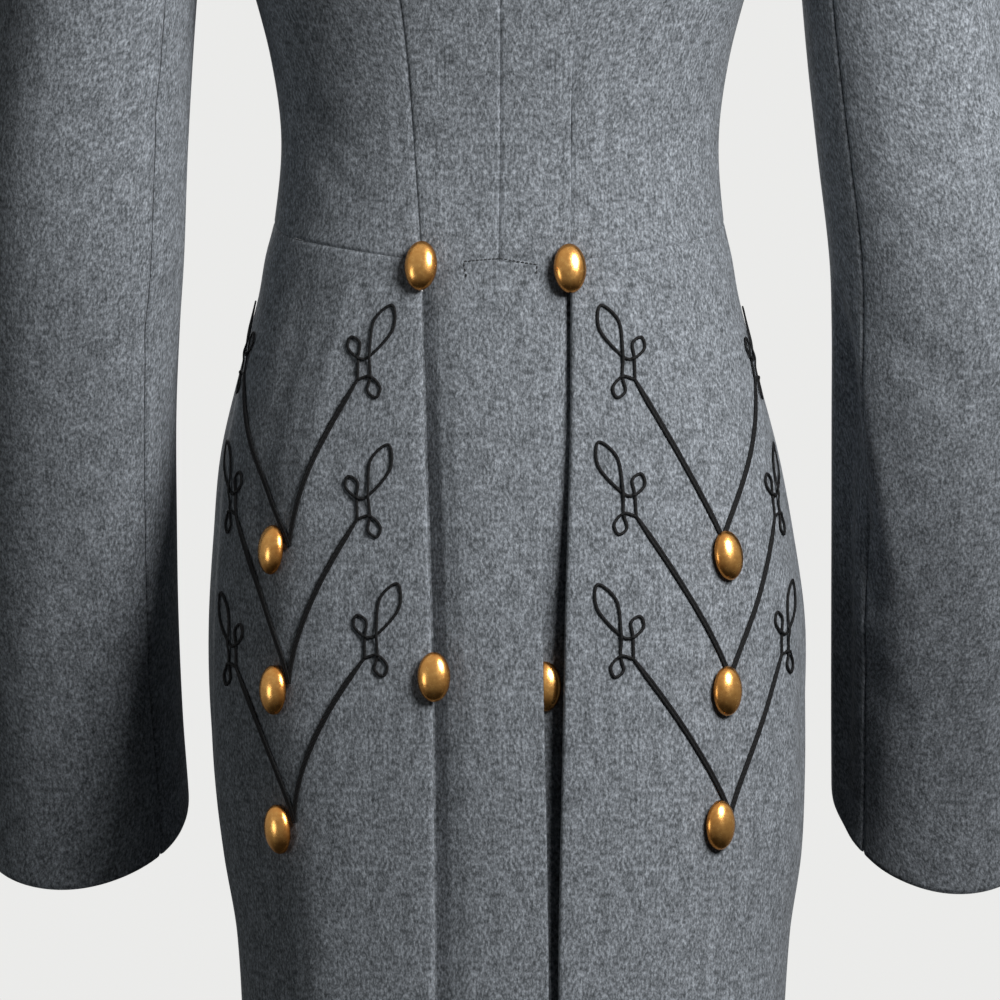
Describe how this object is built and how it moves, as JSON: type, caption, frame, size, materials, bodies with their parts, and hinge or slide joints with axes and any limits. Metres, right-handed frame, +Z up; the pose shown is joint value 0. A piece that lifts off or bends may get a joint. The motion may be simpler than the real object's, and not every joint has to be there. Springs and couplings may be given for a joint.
{
  "type": "tailcoat",
  "caption": "Grey full-dress tailcoat in worn form, with stand collar, pleated tails, black braid chevrons and domed gilt buttons, hollow and open at neck, cuffs and hem.",
  "frame": {"origin": "middle of the neck at the height of the nape, where the wearer's shoulders carry the coat", "axes": "+Z up, +Y out of the back, +X to the wearer's left"},
  "size_m": [0.6174, 0.2935, 0.9021],
  "materials": {
    "wool": "grey salt and pepper wool, fulled and matt",
    "braid": "black woven braid, matt",
    "gilt": "gilt, satin polish"
  },
  "bodies": {
    "root": {"back_left": "wool", "back_right": "wool", "side_back_left": "wool", "side_back_right": "wool", "front_left": "wool", "front_right": "wool", "collar": "wool", "tail_left": "wool", "tail_right": "wool", "sleeve_upper_left": "wool", "sleeve_upper_right": "wool", "sleeve_under_left": "wool", "sleeve_under_right": "wool", "braid_left_1": "braid", "braid_left_2": "braid", "braid_left_3": "braid", "braid_right_1": "braid", "braid_right_2": "braid", "braid_right_3": "braid", "hip_button_left": "gilt", "hip_button_right": "gilt", "pleat_button_left": "gilt", "pleat_button_right": "gilt", "skirt_button_left_1": "gilt", "skirt_button_left_2": "gilt", "skirt_button_left_3": "gilt", "skirt_button_right_1": "gilt", "skirt_button_right_2": "gilt", "skirt_button_right_3": "gilt", "front_button_1": "gilt", "front_button_2": "gilt", "front_button_3": "gilt", "front_button_4": "gilt", "front_button_5": "gilt", "front_button_6": "gilt", "front_button_7": "gilt", "front_button_8": "gilt"}
  },
  "joints": []
}
